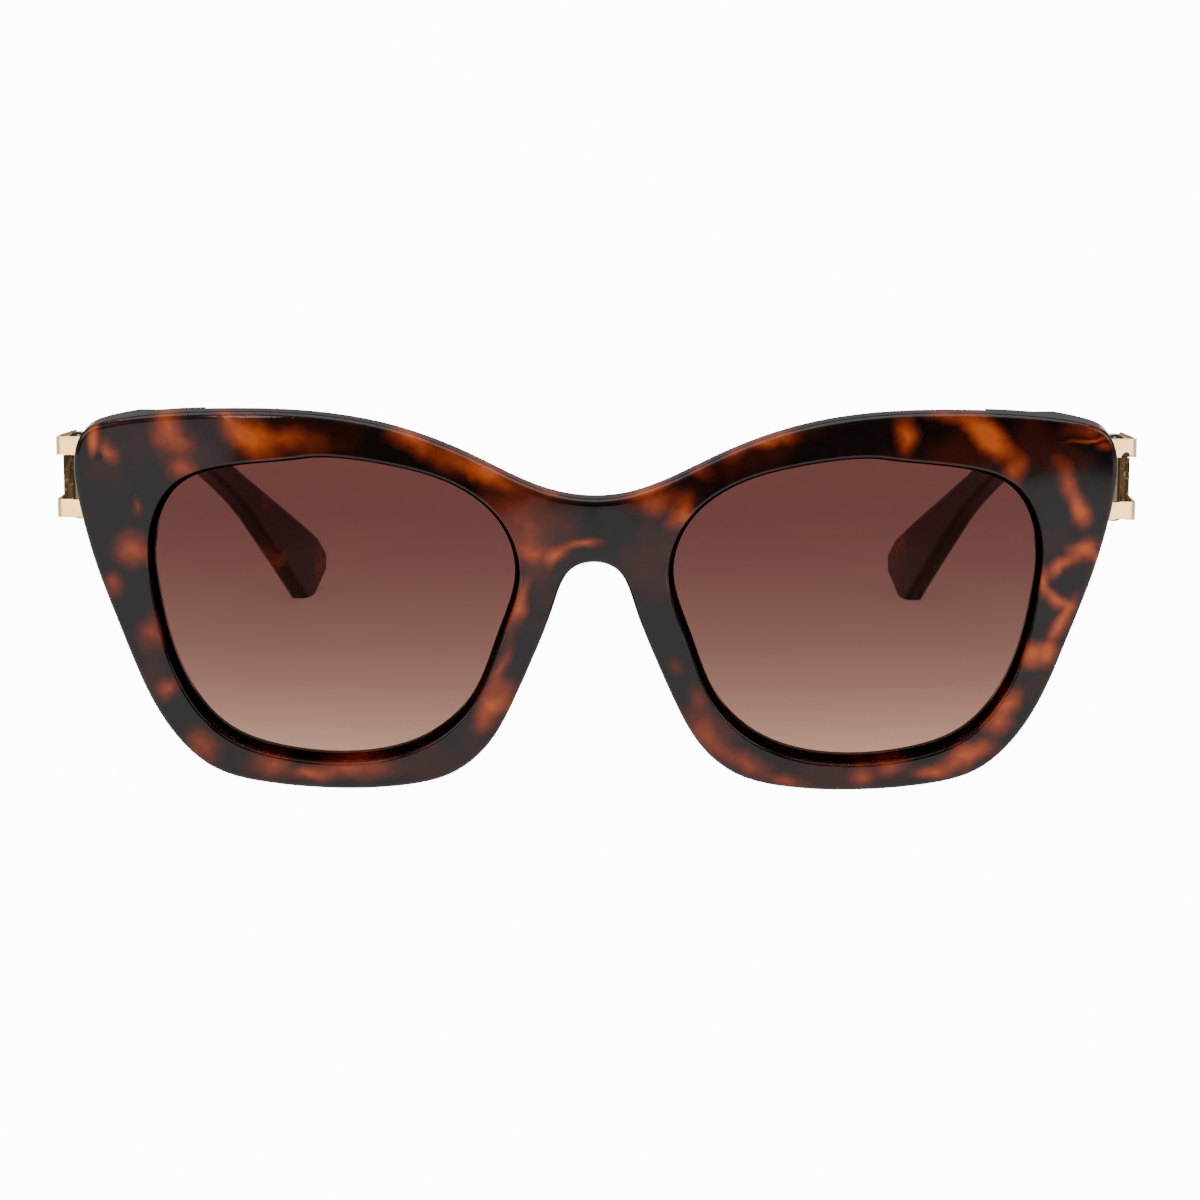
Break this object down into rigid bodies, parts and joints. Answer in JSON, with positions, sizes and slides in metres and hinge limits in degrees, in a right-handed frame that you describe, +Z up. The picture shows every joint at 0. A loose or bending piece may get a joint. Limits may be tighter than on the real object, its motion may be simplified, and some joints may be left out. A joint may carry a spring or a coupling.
{
  "type": "sunglasses",
  "caption": "Cat eye sunglasses with a tortoiseshell plastic front, brown gradient lenses, gilt clasps on the temples and folding hinged temples.",
  "frame": {"origin": "on the ground plane, below the middle of the bounding box, with the glasses open and standing on the rims and the temple tips", "axes": "+Z up, -Y the way the wearer looks (the front of the glasses), +X the wearer's left"},
  "size_m": [0.1508, 0.1419, 0.053],
  "materials": {
    "tortoiseshell_front": "polished, brown-black with amber patches",
    "tortoiseshell_pads": "polished",
    "tortoiseshell_temples": "polished, brown-black with amber patches",
    "tortoiseshell_inlay": "polished, mottled brown",
    "gradient_lens": "brown tint, dark at the top and paler at the bottom",
    "hinge_metal": "satin nickel silver",
    "screw_steel": "satin",
    "wire_metal": "satin",
    "gilt_metal": "polished pale gold plate",
    "dark_steel": "blackened, polished"
  },
  "bodies": {
    "front": {"front_frame": "tortoiseshell_front", "lens_left": "gradient_lens", "lens_right": "gradient_lens", "nose_pad_left": "tortoiseshell_pads", "nose_pad_right": "tortoiseshell_pads", "front_hinge_left": "hinge_metal", "front_hinge_right": "hinge_metal", "front_hinge_rivets_left": "hinge_metal", "front_hinge_rivets_right": "hinge_metal", "hinge_screw_left": "screw_steel", "hinge_screw_right": "screw_steel"},
    "temple_left_arm": {"temple_left": "tortoiseshell_temples", "temple_hinge_left": "hinge_metal", "temple_hinge_rivets_left": "hinge_metal", "core_wire_left": "wire_metal", "link_left": "gilt_metal", "link_inlay_left": "tortoiseshell_inlay", "link_screws_left": "dark_steel", "link_peg_left": "dark_steel"},
    "temple_right_arm": {"temple_right": "tortoiseshell_temples", "temple_hinge_right": "hinge_metal", "temple_hinge_rivets_right": "hinge_metal", "core_wire_right": "wire_metal", "link_right": "gilt_metal", "link_inlay_right": "tortoiseshell_inlay", "link_screws_right": "dark_steel"}
  },
  "joints": [
    {"name": "hinge_left", "type": "hinge", "parent": "front", "child": "temple_left_arm", "pos_m": [0.0682, -0.054, 0.042], "axis": [0, 0, 1], "range_deg": [0, 82]},
    {"name": "hinge_right", "type": "hinge", "parent": "front", "child": "temple_right_arm", "pos_m": [-0.0682, -0.054, 0.042], "axis": [0, 0, -1], "range_deg": [0, 77]}
  ]
}
